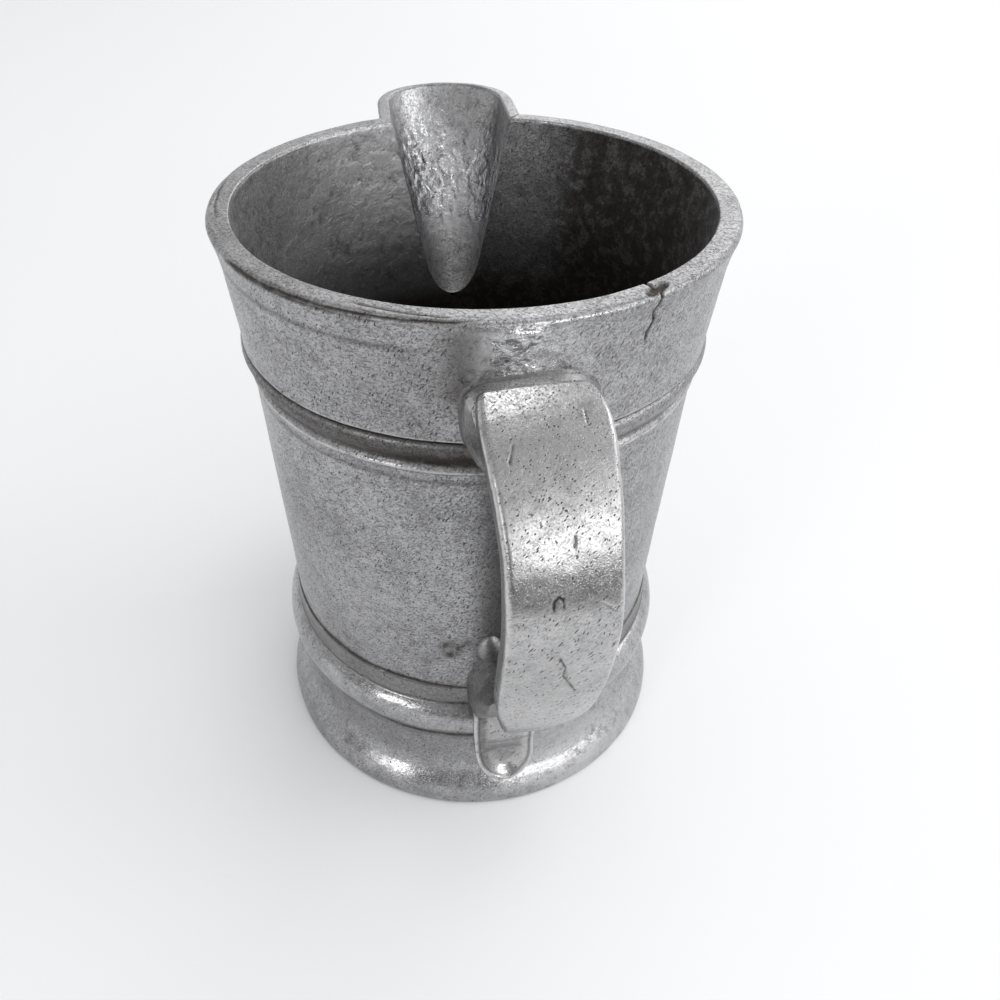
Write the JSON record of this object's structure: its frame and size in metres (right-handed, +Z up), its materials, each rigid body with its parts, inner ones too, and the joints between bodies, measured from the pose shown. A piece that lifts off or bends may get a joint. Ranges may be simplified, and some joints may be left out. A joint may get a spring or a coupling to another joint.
{
  "type": "creamer pitcher",
  "caption": "Tankard-shaped cast metal creamer: tapered barrel with a raised band, trough spout at the rim, broad strap handle and flared hollow foot, for pouring cream.",
  "frame": {"origin": "on the floor under the centre of the bounding box, which is within 1 mm of the vessel's own axis", "axes": "+Z up along the vessel's axis, +Y towards the spout, with the handle on the -Y side"},
  "size_m": [0.0806, 0.1193, 0.1076],
  "materials": {
    "cast_metal": "as cast, lightly brushed, pitted and dulled with age",
    "burnished_metal": "burnished by handling, satin, scratched and pitted",
    "solder": "dull grey solder, filed smooth"
  },
  "bodies": {
    "root": {"barrel": "cast_metal", "spout": "cast_metal", "spout_solder": "solder", "bottom_disc": "cast_metal", "bottom_solder": "solder", "base_bead": "burnished_metal", "foot_ring": "burnished_metal", "foot_solder": "solder", "handle_strap": "burnished_metal", "upper_handle_block": "burnished_metal", "upper_handle_solder": "solder", "lower_handle_block": "burnished_metal", "lower_handle_solder": "solder", "handle_tongue": "burnished_metal"}
  },
  "joints": []
}
